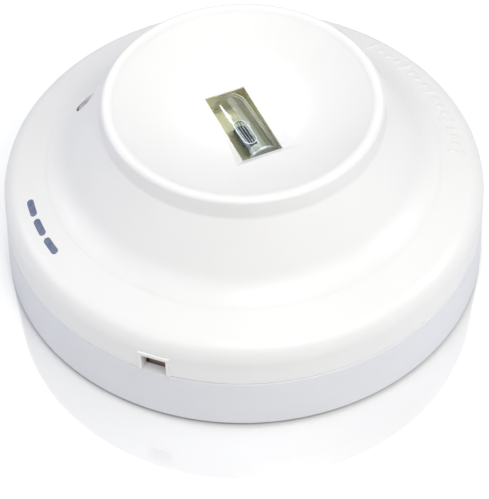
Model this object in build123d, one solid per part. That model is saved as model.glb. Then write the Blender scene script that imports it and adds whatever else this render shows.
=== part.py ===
from build123d import *
import os
from math import sin, cos, tan, radians, degrees, pi, sqrt

# Point-type ultraviolet flame detector with its twist-lock mounting base.
# Frame: millimetres, +Z towards the viewing face, origin at the centre of the
# mounting face (the underside of the base).  -Y is the side with the release slot.

os.makedirs("parts", exist_ok=True)

# ---------------------------------------------------------------- dimensions
FOOT_R = 51.5            # largest radius, at the foot of the base wall
WALL_DRAFT = 0.0392      # radius lost per mm of height
FOOT_UNDERCUT_R = 49.6   # recessed foot that makes a shadow gap on the mounting surface
FOOT_UNDERCUT_H = 0.95
WALL_T = 2.0
BASE_H = 13.0            # top of the base wall, the parting line
PART_GAP = 0.15          # gap at the parting line
FLOOR_T = 2.2

SHOULDER_Z = 21.7        # sharp corner of wall and outer cone, before its fillet
SHOULDER_FILLET = 4.5
CONE_B_SLOPE = tan(radians(21.0))    # outer, flat cone
CONE_B_PT = (47.3, 23.0)
CONE_A_SLOPE = tan(radians(53.0))    # inner, steep cone that carries the dish
CONE_A_PT = (35.6, 30.0)
FLARE_FILLET = 12.0
NECK_R = 29.45           # neck just under the dish lip
LIP_R = 29.0
LIP_TOP_Z = 42.4
LIP_ROUND = 0.85
LIP_IN_R = 27.2
BOWL_BOTTOM_Z = 35.9     # lowest point of the spherical dish, on the axis
BOWL_EDGE_Z = 42.4       # height of the dish surface at LIP_IN_R, level with the lip
SHELL_T = 2.0

WINDOW_AZ = 23.0         # direction of the window's long axis, degrees from -Y towards +X
WINDOW_W, WINDOW_L = 8.9, 19.9
WINDOW_Z = 35.2
RECESS_GAIN_W = 5.0 / 2.4   # growth of the funnel per mm of height
RECESS_GAIN_L = 6.0 / 2.4
WINDOW_LIP_Z = 34.7      # underside of the thinned edge round the window

SLOT_AZ = -21.3          # release slot
SLOT_W = 5.2
SLOT_TOP_Z = 17.5
SLOT_FRAME_W = 0.75      # raised frame round the slot
LED_AZ = -110.0
LED_RAD = 35.6
LED_HOLE_R = 2.0

TUBE_AZ = 26.0           # tube axis, a little off the window's
TUBE_PT = (0.4, 1.8)     # electrode centre in plan
TUBE_Z = 30.0
TUBE_R = 4.4
TUBE_GLASS_T = 0.45

TWIST_RELEASE = 20.0     # degrees of twist from locked to released

CABLE_HOLE_R = 9.0
SCREW_SLOT_X = 30.0
SCREW_SLOT_W = 4.5
SCREW_SLOT_L = 19.5

TERM_ANGLES = (45, 135, 225, 315)
LUG_ANGLES = (60, 180, 300)


def pol(r, deg):
    return (r * cos(radians(deg)), r * sin(radians(deg)))


def az2th(az):
    return az - 90.0


def wall_r(z):
    return FOOT_R - WALL_DRAFT * z


def cone_a(r):
    return CONE_A_PT[1] + CONE_A_SLOPE * (CONE_A_PT[0] - r)


def cone_b(r):
    return CONE_B_PT[1] + CONE_B_SLOPE * (CONE_B_PT[0] - r)


def meet(s1, p1, s2, p2):
    # two falling lines z = p[1] + s*(p[0]-r)
    r = (p1[1] + s1 * p1[0] - p2[1] - s2 * p2[0]) / (s1 - s2)
    return (r, p1[1] + s1 * (p1[0] - r))


def sector(r0, r1, z0, z1, th0, th1):
    # annular block between two radii, two heights and two angles
    o_mid = pol(r1, (th0 + th1) / 2)
    i_mid = pol(r0, (th0 + th1) / 2)
    e = [
        Line(pol(r0, th0), pol(r1, th0)),
        ThreePointArc(pol(r1, th0), o_mid, pol(r1, th1)),
        Line(pol(r1, th1), pol(r0, th1)),
        ThreePointArc(pol(r0, th1), i_mid, pol(r0, th0)),
    ]
    f = make_face(e)
    return Pos(0, 0, z0) * extrude(f, z1 - z0)


def box_at(x0, x1, y0, y1, z0, z1):
    return Pos((x0 + x1) / 2, (y0 + y1) / 2, (z0 + z1) / 2) * Box(x1 - x0, y1 - y0, z1 - z0)


def cyl(x, y, z0, z1, r):
    return Pos(x, y, (z0 + z1) / 2) * Cylinder(r, z1 - z0)


def at_polar(r, th, shape):
    # shape built at the origin with +X pointing outwards
    x, y = pol(r, th)
    return Pos(x, y, 0) * Rot(0, 0, th) * shape


def solids_of(shape):
    return list(shape.solids())


def save(name, *shapes):
    sol = []
    for s in shapes:
        sol += solids_of(s)
    out = sol[0] if len(sol) == 1 else Compound(children=sol)
    out.label = name
    export_step(out, "parts/%s.step" % name)
    print(name, len(sol), round(sum(s.volume for s in sol), 1))
    return out


def plan_frame(az, px=0.0, py=0.0, z=0.0):
    # frame whose local +X points along azimuth az in plan
    th = az2th(az)
    return Pos(px, py, z) * Rot(0, 0, th)


# ================================================================= the base
r_top = wall_r(BASE_H)
r_und = wall_r(FOOT_UNDERCUT_H)
base = revolve(Plane.XZ * make_face(Polyline(
    (0, 0), (FOOT_UNDERCUT_R, 0), (FOOT_UNDERCUT_R, FOOT_UNDERCUT_H - 0.1),
    (r_und, FOOT_UNDERCUT_H), (r_top, BASE_H - 0.3), (r_top - 0.3, BASE_H), (r_top - WALL_T, BASE_H),
    (wall_r(FLOOR_T) - WALL_T, FLOOR_T), (0, FLOOR_T), (0, 0))), Axis.Z, 360)
# collar round the cable entry
base += cyl(0, 0, 0, 5.0, CABLE_HOLE_R + 2.0)
base -= cyl(0, 0, -1, 6.0, CABLE_HOLE_R)
# stiffening ring round the floor, inside the bayonet track
ring = cyl(0, 0, FLOOR_T - 0.5, 4.0, 20.0) - cyl(0, 0, 1, 5, 18.6)
for s in (-1, 1):
    ring -= box_at(s * 30 - 11.5, s * 30 + 11.5, -3.6, 3.6, 2.0, 6.0)
base += ring
# terminal posts
POST_R = 32.5
for th in TERM_ANGLES:
    post = box_at(-5.0, 6.0, -5.5, 5.5, FLOOR_T - 0.5, 6.0)
    base += at_polar(POST_R, th, post)
for th in TERM_ANGLES:
    x, y = pol(POST_R + 1.5, th)
    base -= cyl(x, y, 2.6, 7.0, 1.25)
# inward bayonet ledges with an end stop, and the webs that carry them
ledges = []
for th in LUG_ANGLES:
    ledges.append(sector(43.4, 50.2, 8.5, 10.6, th - 8, th + 8)
                  + sector(47.9, 50.2, FLOOR_T, 8.8, th - 8, th + 8))
# fixing slots
for s in (-1, 1):
    base -= Pos(s * SCREW_SLOT_X, 0, 1) * extrude(SlotOverall(SCREW_SLOT_L, SCREW_SLOT_W), 8, both=True)
# hinge notch for the latch tongue
LT = az2th(SLOT_AZ)
base -= at_polar(47.6, LT, box_at(-1.5, 1.4, -3.0, 3.0, 1.0, FLOOR_T + 1))
# raised bar on the wall's top edge that completes the frame round the release slot
base += at_polar(50.0, LT, box_at(-0.8, 1.13, -SLOT_W / 2 - SLOT_FRAME_W, SLOT_W / 2 + SLOT_FRAME_W, BASE_H - SLOT_FRAME_W, BASE_H))
# the moulding is kept as a floor, an outer wall and three ledges that meet face to face
WALL_IN_FOOT = wall_r(FLOOR_T) - WALL_T
wall_zone = revolve(Plane.XZ * make_face(Polyline(
    (48.0, -1), (60, -1), (60, BASE_H + 1), (wall_r(BASE_H + 1) - WALL_T, BASE_H + 1),
    (WALL_IN_FOOT, FLOOR_T), (48.0, FLOOR_T), (48.0, -1))), Axis.Z, 360)
save("base_floor", base - wall_zone)
save("base_wall", base & wall_zone)
save("bayonet_ledges", *[l - wall_zone for l in ledges])

# latch: a tongue that stands up behind the slot, on a root that bends inwards
latch = at_polar(47.6, LT, box_at(-0.9, 0.7, -2.35, 2.35, 1.3, 15.1)
                 + box_at(-2.2, -0.8, -1.5, 1.5, 11.0, 12.2))
save("tamper_latch", latch)

# terminals
springs, clamps, tscrews = [], [], []
for th in TERM_ANGLES:
    strip = box_at(-4.6, 5.4, -4.0, 4.0, 6.0, 6.7) - cyl(1.5, 0, 5, 8, 1.7)
    # raised finger beside the screw, towards the centre, bridged like an arch
    prof = Plane.XZ * make_face(Polyline((-4.6, 6.0), (-4.6, 6.7), (-6.2, 6.7), (-7.6, 8.9),
                                         (-11.4, 8.9), (-13.2, 6.9), (-12.7, 6.45), (-11.1, 8.2),
                                         (-7.95, 8.2), (-6.6, 6.0), (-4.6, 6.0)))
    finger = extrude(prof, 2.5, both=True)
    springs.append(at_polar(POST_R, th, strip + finger))
    clamps.append(at_polar(POST_R, th, box_at(-2.2, 5.2, -3.6, 3.6, 6.7, 7.7) - cyl(1.5, 0, 5, 8, 1.7)
                           - box_at(4.4, 6, -1.2, 1.2, 5, 9)))
    scr = cyl(1.5, 0, 3.0, 7.7, 1.2) + cyl(1.5, 0, 7.7, 9.3, 2.8)
    scr -= box_at(1.5 - 3, 1.5 + 3, -0.35, 0.35, 8.5, 10)
    scr -= box_at(1.5 - 0.35, 1.5 + 0.35, -1.6, 1.6, 8.5, 10)
    tscrews.append(at_polar(POST_R, th, scr))
save("terminal_springs", *springs)
save("terminal_clamps", *clamps)
save("terminal_screws", *tscrews)

# ================================================================= the head
Z0 = BASE_H + PART_GAP
p_sh = (50.0, 0)
# wall line and cone B meet
r_sh = wall_r(SHOULDER_Z)
z_sh = cone_b(r_sh)
p_flare = meet(CONE_A_SLOPE, CONE_A_PT, CONE_B_SLOPE, CONE_B_PT)
z_neck = cone_a(NECK_R)
Rs = (LIP_IN_R ** 2) / (2 * (BOWL_EDGE_Z - BOWL_BOTTOM_Z)) + (BOWL_EDGE_Z - BOWL_BOTTOM_Z) / 2


def bowl_z(r, off=0.0):
    # height of the dish surface, or of its underside offset by off
    return BOWL_BOTTOM_Z + Rs - sqrt((Rs + off) ** 2 - r * r)


outer_face = Plane.XZ * make_face([
    Line((0, Z0), (wall_r(Z0), Z0)),
    Line((wall_r(Z0), Z0), (r_sh, z_sh)),
    Line((r_sh, z_sh), p_flare),
    Line(p_flare, (NECK_R, z_neck)),
    Line((NECK_R, z_neck), (LIP_R, LIP_TOP_Z)),
    Line((LIP_R, LIP_TOP_Z), (LIP_IN_R, LIP_TOP_Z)),
    ThreePointArc((LIP_IN_R, LIP_TOP_Z), (14.0, bowl_z(14.0)), (0, BOWL_BOTTOM_Z)),
    Line((0, BOWL_BOTTOM_Z), (0, Z0)),
])


def near(face, r, z, tol=0.05):
    out = []
    for v in face.vertices():
        if abs(v.X - r) < tol and abs(v.Z - z) < tol:
            out.append(v)
    return out


def fillet_at(face, r, z, rad):
    # round one corner of a section lying in the XZ plane
    vs = near(face, r, z)
    if not vs:
        raise ValueError("no corner at %s %s" % (r, z))
    return fillet(vs, rad)


outer_face = fillet_at(outer_face, r_sh, z_sh, SHOULDER_FILLET)
outer_face = fillet_at(outer_face, p_flare[0], p_flare[1], FLARE_FILLET)
outer_face = fillet_at(outer_face, NECK_R, z_neck, 1.1)
outer_face = fillet_at(outer_face, LIP_R, LIP_TOP_Z, LIP_ROUND)
outer_face = fillet_at(outer_face, LIP_IN_R, LIP_TOP_Z, 3.2)
outer_face = fillet_at(outer_face, wall_r(Z0), Z0, 0.2)
outer = revolve(outer_face, Axis.Z, 360)

# inner cavity
ib = (CONE_B_PT[0], CONE_B_PT[1] - SHELL_T / cos(radians(21.0)))
ia = (CONE_A_PT[0], CONE_A_PT[1] - SHELL_T / cos(radians(53.0)))
r_in_sh = wall_r(20.3) - WALL_T
z_in_sh = ib[1] + CONE_B_SLOPE * (ib[0] - r_in_sh)
q_flare = meet(CONE_A_SLOPE, ia, CONE_B_SLOPE, ib)
# where the steep cone's inside meets the underside of the dish
r_q = 26.1
for _ in range(40):
    za = ia[1] + CONE_A_SLOPE * (ia[0] - r_q)
    zb = bowl_z(r_q, SHELL_T)
    r_q += (za - zb) * 0.3
z_q = bowl_z(r_q, SHELL_T)
inner_face = Plane.XZ * make_face([
    Line((0, Z0 - 1), (wall_r(Z0 - 1) - WALL_T, Z0 - 1)),
    Line((wall_r(Z0 - 1) - WALL_T, Z0 - 1), (r_in_sh, z_in_sh)),
    Line((r_in_sh, z_in_sh), q_flare),
    Line(q_flare, (r_q, z_q)),
    ThreePointArc((r_q, z_q), (13.0, bowl_z(13.0, SHELL_T)), (0, BOWL_BOTTOM_Z - SHELL_T)),
    Line((0, BOWL_BOTTOM_Z - SHELL_T), (0, Z0 - 1)),
])
inner_face = fillet_at(inner_face, q_flare[0], q_flare[1], FLARE_FILLET + SHELL_T)
inner_face = fillet_at(inner_face, r_in_sh, z_in_sh, 0.8)
cavity = revolve(inner_face, Axis.Z, 360)
cover = outer - cavity

# thinned edge round the window, from below; extra wall under the funnel first
WF = plan_frame(WINDOW_AZ)
cover += (WF * box_at(-15.5, 15.5, -9.2, 9.2, WINDOW_LIP_Z, 36.6)) & outer
cover -= WF * box_at(-(WINDOW_L + 2.4) / 2, (WINDOW_L + 2.4) / 2, -(WINDOW_W + 2.0) / 2, (WINDOW_W + 2.0) / 2, 30, WINDOW_LIP_Z)


def rect_at(lx, wy, z):
    return Pos(0, 0, z) * Rectangle(lx, wy)


dz = 8.0
funnel = loft([rect_at(WINDOW_L, WINDOW_W, WINDOW_Z),
               rect_at(WINDOW_L + RECESS_GAIN_L * dz, WINDOW_W + RECESS_GAIN_W * dz, WINDOW_Z + dz)])
cover -= WF * funnel
cover -= WF * box_at(-WINDOW_L / 2, WINDOW_L / 2, -WINDOW_W / 2, WINDOW_W / 2, 30, WINDOW_Z + 0.01)

# indicator hole, square to the board, with a guide tube on the inside
lx, ly = pol(LED_RAD, az2th(LED_AZ))
guide = (cyl(lx, ly, 22.5, 33.0, LED_HOLE_R + 1.2)) & outer
cover += guide
cover -= cyl(lx, ly, 20, 45, LED_HOLE_R)

# release slot in the skirt: a notch up from the parting line, with a raised frame
slot_cut = at_polar(50.0, LT, box_at(-3, 3, -SLOT_W / 2, SLOT_W / 2, Z0 - 1, SLOT_TOP_Z))
frame_o = at_polar(50.0, LT, box_at(-1.4, 1.13, -SLOT_W / 2 - SLOT_FRAME_W, SLOT_W / 2 + SLOT_FRAME_W, Z0, SLOT_TOP_Z + SLOT_FRAME_W))
cover += frame_o
cover -= slot_cut

# screw bosses
BOSS = [(36.0, 70.0), (36.0, 190.0), (36.0, 310.0)]
for r, th in BOSS:
    x, y = pol(r, th)
    cover += cyl(x, y, 15.1 + 0.05, 26.0, 3.0) & outer
for r, th in BOSS:
    x, y = pol(r, th)
    cover -= cyl(x, y, 15.0, 21.0, 1.2)
# the moulding is kept as four solids that meet face to face: the upright skirt, the
# flat shoulder cone, the steep flare with the neck and lip, and the dish
SKIRT_TOP_Z = 17.9
FLARE_R = 41.5
DISH_R = 26.6
big = 60.0
z_low = Z0 - 2
skirt_zone = cyl(0, 0, z_low, SKIRT_TOP_Z, big) - cyl(0, 0, z_low - 1, SKIRT_TOP_Z + 1, FLARE_R)
shoulder_zone = cyl(0, 0, SKIRT_TOP_Z, 45.0, big) - cyl(0, 0, SKIRT_TOP_Z - 1, 46.0, FLARE_R)
flare_zone = cyl(0, 0, z_low, 45.0, FLARE_R) - cyl(0, 0, z_low - 1, 46.0, DISH_R)
dish_zone = cyl(0, 0, z_low, 45.0, DISH_R)
save("cover_skirt", cover & skirt_zone)
save("cover_shoulder", cover & shoulder_zone)
save("cover_flare", cover & flare_zone)
save("cover_dish", cover & dish_zone)

# chassis: the plate that closes the head, its skirt ring with the bayonet lugs
CH_R = 46.2
chassis = cyl(0, 0, 13.3, 15.1, CH_R)
# skirt ring under the plate, one moulding with it, with the bayonet lugs
bay_ring = cyl(0, 0, 5.9, 13.3, 42.2) - cyl(0, 0, 5, 13.5, 40.4)
for th in LUG_ANGLES:
    bay_ring += sector(41.8, 47.3, 6.1, 8.2, th - 7, th + 7)
save("bayonet_ring", bay_ring)
# standoffs for the main board
STAND = [(28.0, 70.0), (28.0, 190.0), (28.0, 310.0)]
for r, th in STAND:
    x, y = pol(r, th)
    chassis += cyl(x, y, 15.0, 18.0, 3.0)
for r, th in STAND:
    x, y = pol(r, th)
    chassis -= cyl(x, y, 14.0, 19.0, 1.1)
# screw holes with heads sunk from below
for r, th in BOSS:
    x, y = pol(r, th)
    chassis -= cyl(x, y, 12.5, 15.5, 1.7)
# contact pin holes
CON_R = 23.0
for th in TERM_ANGLES:
    x, y = pol(CON_R, th)
    chassis -= cyl(x, y, 13, 16, 1.1)
# room for the latch tongue over the whole twist
chassis -= sector(43.8, 48.0, 13.0, 16.0, LT - TWIST_RELEASE - 5, LT + 5)
save("chassis_plate", chassis)

# cover screws, from below
csc = []
for r, th in BOSS:
    x, y = pol(r, th)
    sc = cyl(x, y, 13.3, 20.5, 1.15) + cyl(x, y, 11.3, 13.3, 2.6)
    sc -= box_at(x - 1.7, x + 1.7, y - 0.35, y + 0.35, 11.0, 12.3)
    sc -= box_at(x - 0.35, x + 0.35, y - 1.7, y + 1.7, 11.0, 12.3)
    csc.append(sc)
save("cover_screws", *csc)

# head contacts: a foot over each base spring, a leg and a pin up to the board
hc = []
for th in TERM_ANGLES:
    c = box_at(-2.4, 2.4, -2.0, 2.0, 9.1, 9.7) + box_at(-0.5, 0.5, -2.0, 2.0, 9.6, 12.6)
    c += box_at(-1.5, 1.5, -2.0, 2.0, 12.6, 13.3) + cyl(0, 0, 13.2, 18.0, 0.9)
    hc.append(at_polar(CON_R, th, c))
save("head_contacts", *hc)

# ------------------------------------------------------------ main circuit board
BZ0, BZ1 = 18.0, 19.6
lth = az2th(LED_AZ)
board = cyl(0, 0, BZ0, BZ1, 32.4)
board += Rot(0, 0, lth) * box_at(28, 38.6, -4.0, 4.0, BZ0, BZ1)
for r, th in STAND:
    x, y = pol(r, th)
    board -= cyl(x, y, 17, 21, 1.2)
save("main_board", board)
bs = []
for r, th in STAND:
    x, y = pol(r, th)
    sc = cyl(x, y, 15.3, BZ1, 1.05) + cyl(x, y, BZ1, BZ1 + 1.6, 2.2)
    sc -= box_at(x - 1.4, x + 1.4, y - 0.3, y + 0.3, BZ1 + 0.8, BZ1 + 2)
    sc -= box_at(x - 0.3, x + 0.3, y - 1.4, y + 1.4, BZ1 + 0.8, BZ1 + 2)
    bs.append(sc)
save("board_screws", *bs)

# indicator: a clear 3 mm lamp on a spacer under the guide tube
led = cyl(lx, ly, 23.4, 27.6, 1.5) + cyl(lx, ly, 22.8, 23.5, 1.75) + Pos(lx, ly, 27.6) * Sphere(1.5)
led_l = cyl(lx - 0.65, ly, BZ1, 22.8, 0.25) + cyl(lx + 0.65, ly, BZ1, 22.8, 0.25)
save("indicator_led", led)
save("led_leads", led_l)
sp = cyl(lx, ly, BZ1, 21.8, 1.9) - cyl(lx - 0.65, ly, BZ1 - 1, 26, 0.35) - cyl(lx + 0.65, ly, BZ1 - 1, 26, 0.35)
save("led_spacer", sp)

# parts on the main board
TF = plan_frame(TUBE_AZ, TUBE_PT[0], TUBE_PT[1], 0)     # local +X runs to the stem end


def on_tube(shape):
    return TF * shape


# high-voltage converter transformer: a wound bobbin between two core halves
core = box_at(-6.0, 6.0, -5.2, 5.2, BZ1, 29.2) - box_at(-4.2, 4.2, -6, 6, BZ1 + 1.9, 27.4)
core += cyl(0, 0, BZ1 + 1.8, 27.5, 2.2)
bob = (cyl(0, 0, BZ1 + 2.0, BZ1 + 2.7, 3.9) + cyl(0, 0, 26.6, 27.3, 3.9) + cyl(0, 0, BZ1 + 2.0, 27.3, 2.8)) - cyl(0, 0, 15, 35, 2.3)
wind = cyl(0, 0, BZ1 + 2.75, 26.55, 3.8) - cyl(0, 0, 15, 35, 2.85)


def tr_at(sh):
    return at_polar(23.5, 206, sh)


save("transformer_core", tr_at(core))
save("transformer_bobbin", tr_at(bob))
save("transformer_winding", tr_at(wind))


def can(r, h):
    c = cyl(0, 0, BZ1, BZ1 + h, r)
    c -= (cyl(0, 0, BZ1 + 1.2, BZ1 + 1.9, r + 1) - cyl(0, 0, BZ1 + 1.1, BZ1 + 2.0, r - 0.35))
    return c


save("smoothing_capacitors", at_polar(19.5, 5, can(4.0, 11.0)), at_polar(19.5, 47, can(4.0, 11.0)))
mcu = box_at(-4.5, 4.5, -4.5, 4.5, BZ1 + 0.3, BZ1 + 2.1)
for k in range(6):
    o = -3.4 + 1.36 * k
    mcu += box_at(-5.5, -4.4, o - 0.25, o + 0.25, BZ1, BZ1 + 0.9) + box_at(4.4, 5.5, o - 0.25, o + 0.25, BZ1, BZ1 + 0.9)
save("microcontroller", at_polar(25.8, 341, mcu))
res = []
for k in range(5):
    y = -6.4 + 3.2 * k
    r0 = Pos(-9.0, y, BZ1 + 1.15) * (Rot(0, 90, 0) * (Cylinder(1.1, 6.0)))
    r0 += Pos(-9.0, y, BZ1 + 1.15) * (Rot(0, 90, 0) * (Cylinder(0.3, 9.0)))
    r0 += cyl(-9.0 - 4.3, y, BZ1, BZ1 + 1.4, 0.3) + cyl(-9.0 + 4.3, y, BZ1, BZ1 + 1.4, 0.3)
    res.append(on_tube(r0))
save("resistors", *res)
save("film_capacitor", at_polar(24.5, 160, box_at(-2.5, 2.5, -5.0, 5.0, BZ1, BZ1 + 7.5)))

# ------------------------------------------------------------ the tube and its mounting
SB0, SB1 = 23.0, 24.4
sboard = on_tube(box_at(-16.5, 16.0, -8.2, 8.2, SB0, SB1))
save("tube_board", sboard)
save("board_spacers", on_tube(cyl(13.8, -6.0, BZ1, SB0, 1.6)), on_tube(cyl(13.8, 6.0, BZ1, SB0, 1.6)),
     on_tube(cyl(-15.2, 0, BZ1, SB0, 1.2)))
lp = [on_tube(cyl(2.0 + 2.54 * k, 6.6, BZ1, SB0, 0.32)) for k in range(4)]
save("board_link_pins", *lp)
# open metal tray behind the tube
tray = box_at(-14.6, 10.6, -7.4, 7.4, SB1, 32.6) - box_at(-14.1, 12, -6.9, 6.9, SB1 + 0.5, 34)
save("reflector_tray", on_tube(tray))
sad = []
for sx in (-5.0, 5.5):
    b0 = box_at(sx - 1.0, sx + 1.0, -3.4, 3.4, SB1 + 0.5, 27.6)
    b0 -= Pos(sx, 0, TUBE_Z) * (Rot(0, 90, 0) * Cylinder(TUBE_R + 0.03, 6))
    sad.append(on_tube(b0))
save("tube_saddles", *sad)


def tube_section(edges):
    # half section with x along the tube and z as radius, turned about the tube's axis
    f = Plane.XZ * make_face(edges)
    return Pos(0, 0, TUBE_Z) * revolve(f, Axis.X, 360)


DC, SE = -6.8, 9.0       # dome centre and stem end, along the tube
ri = TUBE_R - TUBE_GLASS_T
q = sqrt(0.5)
glass = tube_section([
    Line((DC - TUBE_R, 0), (DC - ri, 0)),
    ThreePointArc((DC - ri, 0), (DC - ri * q, ri * q), (DC, ri)),
    Line((DC, ri), (SE, ri)),
    Line((SE, ri), (SE, TUBE_R - 0.15)),
    Line((SE, TUBE_R - 0.15), (SE - 0.15, TUBE_R)),
    Line((SE - 0.15, TUBE_R), (DC, TUBE_R)),
    ThreePointArc((DC, TUBE_R), (DC - TUBE_R * q, TUBE_R * q), (DC - TUBE_R, 0)),
])
save("tube_envelope", on_tube(glass))
LY = 1.15
stem = tube_section([
    Line((4.9, 0), (4.9, 1.5)),
    ThreePointArc((4.9, 1.5), (7.0, 2.1), (8.4, ri - 0.05)),
    Line((8.4, ri - 0.05), (SE, ri - 0.05)),
    Line((SE, ri - 0.05), (SE, 0)),
    Line((SE, 0), (4.9, 0)),
])
for yy in (-LY, LY):
    stem -= Pos(7, yy, TUBE_Z) * (Rot(0, 90, 0) * Cylinder(0.27, 8))
# exhaust tip
stem += Pos(SE + 0.7, 0, TUBE_Z) * (Rot(0, 90, 0) * Cylinder(0.7, 1.5))
save("tube_stem", on_tube(stem))
leads = []
for yy in (-LY, LY):
    l0 = Pos((4.9 + 12.0) / 2, yy, TUBE_Z) * (Rot(0, 90, 0) * Cylinder(0.22, 12.0 - 4.9))
    l0 += Pos(12.0, yy, TUBE_Z) * Sphere(0.22)
    l0 += cyl(12.0, yy, SB1, TUBE_Z, 0.22)
    leads.append(on_tube(l0))
save("tube_leads", *leads)
# electrodes: a solid plate below, a wire grid above, each with a leg to its lead
EL, EW = 7.5, 3.1
cath = Pos(0.0, 0, 28.9) * extrude(RectangleRounded(EL - 0.6, EW - 0.1, 1.3), 0.25)
cath += box_at(3.2, 4.85, -LY - 0.2, -LY + 0.2, 28.9, 29.15)
cath += box_at(4.45, 4.85, -LY - 0.2, -LY + 0.2, 28.9, 30.2)
save("tube_cathode", on_tube(cath))
fr = extrude(RectangleRounded(EL, EW, 1.5), 0.32) - extrude(RectangleRounded(EL - 0.66, EW - 0.66, 1.17), 0.32)
grid = Pos(0, 0, 30.35) * fr
for k in range(4):
    y = -0.9 + 0.6 * k
    half = EL / 2 - 0.15 - (0.2 if abs(y) > 0.8 else 0)
    grid += Pos(0, y, 30.51) * (Rot(0, 90, 0) * Cylinder(0.13, 2 * half))
grid += box_at(3.4, 4.85, LY - 0.16, LY + 0.16, 30.35, 30.67)
grid += box_at(4.5, 4.85, LY - 0.16, LY + 0.16, 29.8, 30.4)
save("tube_anode", on_tube(grid))
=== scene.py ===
import math
import bmesh
import bpy
from mathutils import Matrix, Vector


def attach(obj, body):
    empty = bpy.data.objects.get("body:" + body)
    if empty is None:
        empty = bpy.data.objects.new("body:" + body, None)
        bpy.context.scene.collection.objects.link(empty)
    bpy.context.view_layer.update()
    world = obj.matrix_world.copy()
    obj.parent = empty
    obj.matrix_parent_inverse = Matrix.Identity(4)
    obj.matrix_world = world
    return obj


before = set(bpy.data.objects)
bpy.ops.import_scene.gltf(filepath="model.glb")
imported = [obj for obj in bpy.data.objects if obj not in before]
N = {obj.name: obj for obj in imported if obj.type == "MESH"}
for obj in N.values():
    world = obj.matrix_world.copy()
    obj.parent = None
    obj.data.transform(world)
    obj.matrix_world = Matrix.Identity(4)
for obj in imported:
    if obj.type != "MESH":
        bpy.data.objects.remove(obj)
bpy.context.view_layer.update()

MM = 0.001

# ------------------------------------------------------------------ camera
scene = bpy.context.scene
ELEV = math.radians(48.611)
ROLL = math.radians(-0.9915)
fwd = Vector((0, math.cos(ELEV), -math.sin(ELEV)))
right = Vector((1, 0, 0))
up = right.cross(fwd)
c, s = math.cos(ROLL), math.sin(ROLL)
img_x = right * c + up * s
img_y = up * c - right * s
cam_data = bpy.data.cameras.new("camera")
cam_data.sensor_width = 36.0
cam_data.sensor_fit = "AUTO"
cam_data.lens = 2003.38 * 36.0 / 499.0
cam_data.clip_start = 0.02
cam_data.clip_end = 20
cam = bpy.data.objects.new("camera", cam_data)
cam.matrix_world = Matrix((
    (img_x.x, img_y.x, -fwd.x, -0.000146),
    (img_x.y, img_y.y, -fwd.y, -0.292916),
    (img_x.z, img_y.z, -fwd.z, 0.328000),
    (0, 0, 0, 1)))
scene.collection.objects.link(cam)
scene.camera = cam
scene.view_settings.view_transform = "Standard"
scene.view_settings.look = "None"
scene.view_settings.exposure = 0.0
scene.view_settings.gamma = 1.0


# ------------------------------------------------------------------ node helpers
def new_mat(name):
    m = bpy.data.materials.new(name)
    m.use_nodes = True
    nt = m.node_tree
    nt.nodes.clear()
    out = nt.nodes.new("ShaderNodeOutputMaterial")
    b = nt.nodes.new("ShaderNodeBsdfPrincipled")
    nt.links.new(b.outputs["BSDF"], out.inputs["Surface"])
    return m, nt, b


def coords(nt, scale=1.0):
    tc = nt.nodes.new("ShaderNodeTexCoord")
    mp = nt.nodes.new("ShaderNodeMapping")
    mp.inputs["Scale"].default_value = (scale, scale, scale)
    nt.links.new(tc.outputs["Object"], mp.inputs["Vector"])
    return mp.outputs["Vector"]


def noise(nt, vec, scale, detail=3.0, rough=0.5):
    n = nt.nodes.new("ShaderNodeTexNoise")
    n.inputs["Scale"].default_value = scale
    n.inputs["Detail"].default_value = detail
    n.inputs["Roughness"].default_value = rough
    nt.links.new(vec, n.inputs["Vector"])
    return n.outputs["Fac"]


def remap(nt, fac, a, b, lo=0.3, hi=0.7):
    r = nt.nodes.new("ShaderNodeMapRange")
    r.inputs["From Min"].default_value = lo
    r.inputs["From Max"].default_value = hi
    r.inputs["To Min"].default_value = a
    r.inputs["To Max"].default_value = b
    nt.links.new(fac, r.inputs["Value"])
    return r.outputs["Result"]


def ramp(nt, fac, stops):
    r = nt.nodes.new("ShaderNodeValToRGB")
    el = r.color_ramp.elements
    while len(el) < len(stops):
        el.new(0.5)
    for e, (p, col) in zip(el, stops):
        e.position = p
        e.color = (*col, 1)
    nt.links.new(fac, r.inputs["Fac"])
    return r.outputs["Color"]


def bump(nt, bsdf, height, strength, dist, prev=None):
    bp = nt.nodes.new("ShaderNodeBump")
    bp.inputs["Strength"].default_value = strength
    bp.inputs["Distance"].default_value = dist
    nt.links.new(height, bp.inputs["Height"])
    if prev is not None:
        nt.links.new(prev, bp.inputs["Normal"])
    nt.links.new(bp.outputs["Normal"], bsdf.inputs["Normal"])
    return bp.outputs["Normal"]


def plastic(name, col_a, col_b, rough=(0.30, 0.38), grain=9000.0, grain_h=0.006, mottle=60.0, sss=0.0, coat=0.0, ior=1.5):
    m, nt, b = new_mat(name)
    v = coords(nt)
    nt.links.new(ramp(nt, noise(nt, v, mottle, 4.0), [(0.35, col_a), (0.65, col_b)]), b.inputs["Base Color"])
    nt.links.new(remap(nt, noise(nt, v, mottle * 5, 3.0), *rough), b.inputs["Roughness"])
    n1 = bump(nt, b, noise(nt, v, grain, 2.0), 0.35, grain_h * MM)
    bump(nt, b, noise(nt, v, mottle * 1.3, 2.0), 0.3, 0.02 * MM, n1)
    b.inputs["IOR"].default_value = ior
    if sss:
        b.inputs["Subsurface Weight"].default_value = sss
        b.inputs["Subsurface Radius"].default_value = (1.0, 0.9, 0.8)
        b.inputs["Subsurface Scale"].default_value = 0.001
    if coat:
        b.inputs["Coat Weight"].default_value = coat
        b.inputs["Coat Roughness"].default_value = 0.12
    return m


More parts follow.
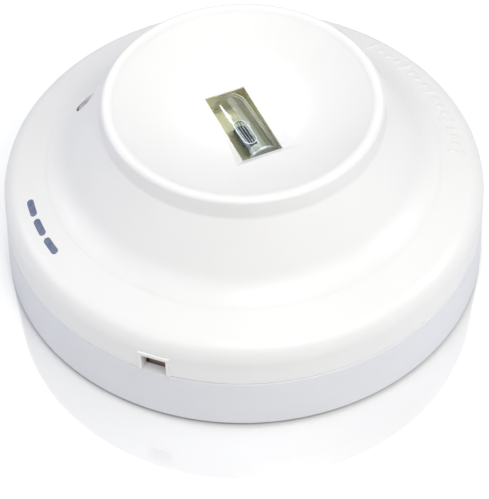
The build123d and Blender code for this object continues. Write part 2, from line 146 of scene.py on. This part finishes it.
def metal(name, col_a, col_b, rough=(0.2, 0.35), scratch=1200.0, h=0.004):
    m, nt, b = new_mat(name)
    v = coords(nt)
    b.inputs["Metallic"].default_value = 1.0
    nt.links.new(ramp(nt, noise(nt, v, 300, 4.0), [(0.35, col_a), (0.65, col_b)]), b.inputs["Base Color"])
    nt.links.new(remap(nt, noise(nt, v, scratch, 3.0), *rough), b.inputs["Roughness"])
    bump(nt, b, noise(nt, v, scratch, 3.0), 0.4, h * MM)
    return m


def assign(names, mat, smooth=30):
    for n in names:
        o = N[n]
        o.data.materials.clear()
        o.data.materials.append(mat)
        if smooth:
            o.data.shade_smooth()
            o.data.set_sharp_from_angle(angle=math.radians(smooth))


# ------------------------------------------------------------------ materials
cover_mat = plastic("cover_abs", (0.897, 0.892, 0.868), (0.912, 0.907, 0.884), rough=(0.30, 0.36), sss=0.10)
base_mat = plastic("base_abs", (0.80, 0.808, 0.83), (0.82, 0.828, 0.85), rough=(0.34, 0.42), sss=0.10)
inner_mat = plastic("chassis_abs", (0.78, 0.78, 0.77), (0.82, 0.82, 0.81), rough=(0.42, 0.5), sss=0.05)
def paint_foot_shadow(m):
    # painted shade: the recessed foot below the wall, under 0.9 mm height, is painted near-black along the mounting
    # line, standing in for the shadow in the gap
    nt = m.node_tree
    bs = next(n for n in nt.nodes if n.type == "BSDF_PRINCIPLED")
    src = bs.inputs["Base Color"].links[0].from_socket
    tc = nt.nodes.new("ShaderNodeTexCoord")
    sp = nt.nodes.new("ShaderNodeSeparateXYZ")
    nt.links.new(tc.outputs["Object"], sp.inputs[0])
    mr = nt.nodes.new("ShaderNodeMapRange")
    mr.inputs["From Min"].default_value = 0.90 * MM
    mr.inputs["From Max"].default_value = 0.98 * MM
    mr.inputs["To Min"].default_value = 0.93
    mr.inputs["To Max"].default_value = 0.0
    nt.links.new(sp.outputs["Z"], mr.inputs["Value"])
    mx = nt.nodes.new("ShaderNodeMix")
    mx.data_type = "RGBA"
    # near-black colour of the painted foot shadow
    mx.inputs["B"].default_value = (0.03, 0.03, 0.033, 1)
    nt.links.new(mr.outputs["Result"], mx.inputs["Factor"])
    nt.links.new(src, mx.inputs["A"])
    nt.links.new(mx.outputs["Result"], bs.inputs["Base Color"])


wall_mat = plastic("base_wall_abs", (0.80, 0.808, 0.83), (0.82, 0.828, 0.85), rough=(0.34, 0.42), sss=0.10)
# the base wall carries the painted shadow on its foot
paint_foot_shadow(wall_mat)
latch_mat = plastic("latch_abs", (0.50, 0.37, 0.28), (0.56, 0.43, 0.34), rough=(0.4, 0.5))
black_mat = plastic("black_nylon", (0.018, 0.018, 0.02), (0.03, 0.03, 0.032), rough=(0.4, 0.5))
bronze_mat = metal("phosphor_bronze", (0.62, 0.42, 0.2), (0.7, 0.5, 0.27))
steel_mat = metal("zinc_plate", (0.6, 0.62, 0.63), (0.74, 0.75, 0.75))
wire_mat = metal("tinned_wire", (0.66, 0.66, 0.66), (0.8, 0.8, 0.8), rough=(0.15, 0.25))
copper_mat = metal("copper_winding", (0.55, 0.2, 0.07), (0.7, 0.3, 0.12))
electrode_mat = metal("electrode", (0.34, 0.38, 0.41), (0.52, 0.56, 0.59), rough=(0.16, 0.28))
cathode_mat = metal("cathode_sheet", (0.055, 0.07, 0.085), (0.11, 0.13, 0.15), rough=(0.3, 0.45))
tray_mat = plastic("olive_passivate", (0.95, 0.925, 0.70), (0.975, 0.955, 0.76), rough=(0.3, 0.42), grain=2500, grain_h=0.01, mottle=180)
board_mat = plastic("solder_mask", (0.012, 0.10, 0.035), (0.02, 0.14, 0.05), rough=(0.2, 0.3), mottle=400)
ferrite_mat = plastic("ferrite", (0.03, 0.03, 0.033), (0.05, 0.05, 0.055), rough=(0.5, 0.6))
sleeve_mat = plastic("sleeve", (0.012, 0.02, 0.07), (0.02, 0.03, 0.1), rough=(0.2, 0.3))
resist_mat = plastic("lacquer", (0.5, 0.36, 0.18), (0.6, 0.44, 0.24), rough=(0.25, 0.35))
film_mat = plastic("film_case", (0.35, 0.06, 0.02), (0.42, 0.08, 0.03), rough=(0.2, 0.3))


def thin_glass(name, tint, gloss=(0.95, 0.97, 1.0), k=1.0, base=0.05, rim=0.8, rim_col=(0.93, 0.95, 0.95), rough=0.02):
    # clear thin wall: light passes straight through, and reflections grow at grazing angles
    m = bpy.data.materials.new(name)
    m.use_nodes = True
    nt = m.node_tree
    nt.nodes.clear()
    out = nt.nodes.new("ShaderNodeOutputMaterial")
    mix = nt.nodes.new("ShaderNodeMixShader")
    tr = nt.nodes.new("ShaderNodeBsdfTransparent")
    gl = nt.nodes.new("ShaderNodeBsdfGlossy")
    tr.inputs["Color"].default_value = (*tint, 1)
    gl.inputs["Color"].default_value = (*gloss, 1)
    gl.inputs["Roughness"].default_value = rough
    lw = nt.nodes.new("ShaderNodeLayerWeight")
    lw.inputs["Blend"].default_value = 0.5
    pw = nt.nodes.new("ShaderNodeMath")
    pw.operation = "POWER"
    pw.inputs[1].default_value = 3.2
    nt.links.new(lw.outputs["Facing"], pw.inputs[0])
    v = coords(nt)
    bp = nt.nodes.new("ShaderNodeBump")
    bp.inputs["Strength"].default_value = 0.3
    bp.inputs["Distance"].default_value = 0.05 * MM
    nt.links.new(noise(nt, v, 180, 2.0), bp.inputs["Height"])
    nt.links.new(bp.outputs["Normal"], gl.inputs["Normal"])
    nt.links.new(bp.outputs["Normal"], lw.inputs["Normal"])
    mul = nt.nodes.new("ShaderNodeMath")
    mul.operation = "MULTIPLY_ADD"
    mul.use_clamp = True
    mul.inputs[1].default_value = k
    mul.inputs[2].default_value = base
    nt.links.new(pw.outputs[0], mul.inputs[0])
    nt.links.new(mul.outputs[0], mix.inputs["Fac"])
    # painted highlight: a pale diffuse white mixed in at grazing angles, so it shows only at the outline, standing in
    # for the light that the thick edge of the wall gathers and reflects
    df = nt.nodes.new("ShaderNodeBsdfDiffuse")
    df.inputs["Color"].default_value = (*rim_col, 1)
    mr = nt.nodes.new("ShaderNodeMapRange")
    mr.interpolation_type = "SMOOTHSTEP"
    mr.inputs["From Min"].default_value = 0.60
    mr.inputs["From Max"].default_value = 0.80
    mr.inputs["To Min"].default_value = 0.0
    mr.inputs["To Max"].default_value = rim
    nt.links.new(lw.outputs["Facing"], mr.inputs["Value"])
    m2 = nt.nodes.new("ShaderNodeMixShader")
    nt.links.new(mr.outputs[0], m2.inputs["Fac"])
    nt.links.new(tr.outputs[0], m2.inputs[1])
    nt.links.new(df.outputs[0], m2.inputs[2])
    nt.links.new(m2.outputs[0], mix.inputs[1])
    nt.links.new(gl.outputs[0], mix.inputs[2])
    nt.links.new(mix.outputs[0], out.inputs["Surface"])
    return m


glass_mat = thin_glass("tube_glass", (0.985, 0.995, 0.99), k=0.5, rim=0.95)
stem_mat = plastic("pressed_glass", (0.50, 0.56, 0.54), (0.66, 0.71, 0.70), rough=(0.05, 0.12), grain=1500, grain_h=0.02, mottle=500, coat=1.0)
lens_mat = plastic("lamp_resin", (0.50, 0.46, 0.50), (0.58, 0.54, 0.58), rough=(0.08, 0.14), coat=0.5)

assign(["cover_skirt", "cover_shoulder", "cover_flare", "cover_dish"], cover_mat)
assign(["base_floor", "bayonet_ledges"], base_mat)
assign(["base_wall"], wall_mat)
assign(["tamper_latch"], latch_mat)
assign(["chassis_plate", "bayonet_ring"], inner_mat)
assign(["terminal_springs", "head_contacts"], bronze_mat)
assign(["terminal_clamps", "terminal_screws", "cover_screws", "board_screws"], steel_mat)
assign(["led_leads", "board_link_pins", "tube_leads"], wire_mat)
assign(["led_spacer", "transformer_bobbin", "board_spacers", "microcontroller"], black_mat)
assign(["transformer_core"], ferrite_mat)
assign(["transformer_winding"], copper_mat)
assign(["smoothing_capacitors"], sleeve_mat)
assign(["resistors"], resist_mat)
assign(["film_capacitor"], film_mat)
assign(["main_board", "tube_board"], board_mat)
assign(["reflector_tray", "tube_saddles"], tray_mat)
assign(["tube_envelope"], glass_mat)
assign(["tube_stem"], stem_mat)
assign(["tube_anode"], electrode_mat)
assign(["tube_cathode"], cathode_mat)
assign(["indicator_led"], lens_mat)

# ------------------------------------------------------------------ raised index ticks and printed mark
def cone_z(r):
    return 23.0 + math.tan(math.radians(21.0)) * (47.3 - r)


def add_piece(name, bm, mat, body, smooth=40):
    bmesh.ops.recalc_face_normals(bm, faces=bm.faces)
    me = bpy.data.meshes.new(name)
    bm.to_mesh(me)
    bm.free()
    me.materials.append(mat)
    if smooth:
        me.shade_smooth()
        me.set_sharp_from_angle(angle=math.radians(smooth))
    ob = bpy.data.objects.new(name, me)
    scene.collection.objects.link(ob)
    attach(ob, body)
    return ob


def polar_strip(bm, az0, az1, r0, r1, height, edge, n=24, sink=0.06):
    # flat rounded strip lying on the outer cone between two azimuths and two radii (mm)
    rm, hw = (r0 + r1) / 2, (r1 - r0) / 2
    end = math.degrees(hw / rm)
    along = az1 - az0 > 2 * end
    outline = []
    if along:
        for i in range(n + 1):
            outline.append((az0 + end + (az1 - az0 - 2 * end) * i / n, -hw))
        for k in range(1, 8):
            t = -math.pi / 2 + math.pi * k / 8
            outline.append((az1 - end + math.cos(t) * end, math.sin(t) * hw))
        for i in range(n, -1, -1):
            outline.append((az0 + end + (az1 - az0 - 2 * end) * i / n, hw))
        for k in range(1, 8):
            t = math.pi / 2 + math.pi * k / 8
            outline.append((az0 + end + math.cos(t) * end, math.sin(t) * hw))
    else:
        ha = (az1 - az0) / 2
        am = (az0 + az1) / 2
        wr = math.radians(ha) * rm
        for k in range(9):
            t = math.pi * k / 8
            outline.append((am + ha * math.cos(t), hw - wr + wr * math.sin(t)))
        for k in range(9):
            t = math.pi + math.pi * k / 8
            outline.append((am + ha * math.cos(t), -hw + wr + wr * math.sin(t)))
    ca = sum(p[0] for p in outline) / len(outline)
    rings = []
    for h, k in ((-sink, 1.0), (height - edge, 1.0), (height - edge * 0.3, 1 - edge * 0.35), (height, 1 - edge)):
        ring = []
        for az, dr in outline:
            a2 = ca + (az - ca) * (1 - (1 - k) * 0.5 if along else k)
            rr = rm + dr * k
            t = math.radians(a2)
            ring.append(bm.verts.new((rr * math.sin(t) * MM, -rr * math.cos(t) * MM, (cone_z(rr) + h) * MM)))
        rings.append(ring)
    m = len(outline)
    for a3, b3 in zip(rings, rings[1:]):
        for i in range(m):
            bm.faces.new((a3[i], a3[(i + 1) % m], b3[(i + 1) % m], b3[i]))
    if along:
        top = rings[-1]
        half = m // 2
        i, j = 0, m - 1
        while i + 1 < j:
            if (i + j) % 2:
                bm.faces.new((top[i], top[i + 1], top[j])) if i + 1 != j else None
                i += 1
            else:
                bm.faces.new((top[i], top[j - 1], top[j])) if i != j - 1 else None
                j -= 1
    else:
        bm.faces.new(rings[-1])
    bm.faces.new(list(reversed(rings[0])))


bm = bmesh.new()
for i in range(17):
    az = 92.0 + 3.0 * i
    long = i % 4 == 0
    polar_strip(bm, az - 0.62, az + 0.62, 43.3 if long else 44.3, 47.2 if long else 46.3, 0.16, 0.08)
add_piece("index_ticks", bm, cover_mat, "head")

ink_mat = plastic("print_ink", (0.13, 0.16, 0.26), (0.19, 0.22, 0.33), rough=(0.4, 0.5), grain=5000, grain_h=0.004, mottle=900)
bm = bmesh.new()
for k in range(3):
    polar_strip(bm, -77.4 + 7.2 * k, -71.4 + 7.2 * k, 44.9, 46.3, 0.02, 0.01, n=12)
add_piece("printed_dashes", bm, ink_mat, "head")

# ------------------------------------------------------------------ floor and light
fm, nt, b = new_mat("floor")
v = coords(nt)
nt.links.new(ramp(nt, noise(nt, v, 6, 2.0), [(0.3, (0.90, 0.90, 0.895)), (0.7, (0.915, 0.915, 0.91))]), b.inputs["Base Color"])
nt.links.new(remap(nt, noise(nt, v, 30, 2.0), 0.05, 0.07), b.inputs["Roughness"])
b.inputs["IOR"].default_value = 2.2
me = bpy.data.meshes.new("floor")
me.from_pydata([(-3, -3, 0), (3, -3, 0), (3, 3, 0), (-3, 3, 0)], [], [(0, 1, 2, 3)])
floor = bpy.data.objects.new("floor", me)
me.materials.append(fm)
scene.collection.objects.link(floor)

# LIGHTS-BEGIN
WORLD = (0.245, 0.255, 0.305)
LIGHTS = [("top", 0, 90, 0.8, (0.8, 0.8, 0.68)),
          ("front", 18, 62, 0.5, (3.1, 3.0, 2.65)),
          ("front_right", 45, 45, 0.6, (1.9, 1.9, 1.85)),
          ("front_left", -45, 45, 0.6, (1.35, 1.35, 1.4)),
          ("right", 90, 32, 0.6, (2.1, 2.12, 2.3)),
          ("left", -100, 32, 0.6, (1.6, 1.63, 1.85)),
          ("back", 180, 48, 0.55, (1.35, 1.35, 1.3))]
# LIGHTS-END

world = bpy.data.worlds.new("world")
world.use_nodes = True
bg = world.node_tree.nodes["Background"]
bg.inputs["Color"].default_value = (*WORLD, 1)
bg.inputs["Strength"].default_value = 1.0
scene.world = world
for name, az, el, size, rgb in LIGHTS:
    a, e = math.radians(az), math.radians(el)
    d = Vector((math.cos(e) * math.sin(a), -math.cos(e) * math.cos(a), math.sin(e)))
    peak = max(rgb)
    ld = bpy.data.lights.new(name, "AREA")
    ld.shape = "DISK"
    ld.size = size
    ld.energy = peak
    ld.color = tuple(v / peak for v in rgb)
    lo = bpy.data.objects.new(name, ld)
    lo.location = Vector((0, 0, 0.02)) + d
    lo.rotation_euler = (-d).to_track_quat("-Z", "Y").to_euler()
    scene.collection.objects.link(lo)

# narrow strip light across the tube, for the short white glint on its glass
p0 = Vector((-0.0039, 0.0049, 0.0336))
az, el = math.radians(-113), math.radians(31)
d = Vector((math.cos(el) * math.sin(az), -math.cos(el) * math.cos(az), math.sin(el)))
ld = bpy.data.lights.new("glint", "AREA")
ld.shape = "RECTANGLE"
ld.size = 0.028
ld.size_y = 0.17
ld.energy = 0.23
lo = bpy.data.objects.new("glint", ld)
lz = d
lx = Vector((0.438, -0.899, 0)).normalized()
lx = (lx - lz * lx.dot(lz)).normalized()
ly = lz.cross(lx)
lo.matrix_world = Matrix((
    (lx.x, ly.x, lz.x, p0.x + d.x),
    (lx.y, ly.y, lz.y, p0.y + d.y),
    (lx.z, ly.z, lz.z, p0.z + d.z),
    (0, 0, 0, 1)))
scene.collection.objects.link(lo)

# soft spot through the window, for the bounce light in the tube chamber
az, el = math.radians(25), math.radians(66)
d = Vector((math.cos(el) * math.sin(az), -math.cos(el) * math.cos(az), math.sin(el)))
ld = bpy.data.lights.new("window_spot", "SPOT")
ld.spot_size = math.radians(1.5)
ld.spot_blend = 1.0
ld.shadow_soft_size = 0.004
ld.energy = 20.0
ld.color = (1.0, 0.99, 0.86)
lo = bpy.data.objects.new("window_spot", ld)
lo.location = Vector((0, 0.004, 0.036)) + d
lo.rotation_euler = (-d).to_track_quat("-Z", "Y").to_euler()
scene.collection.objects.link(lo)
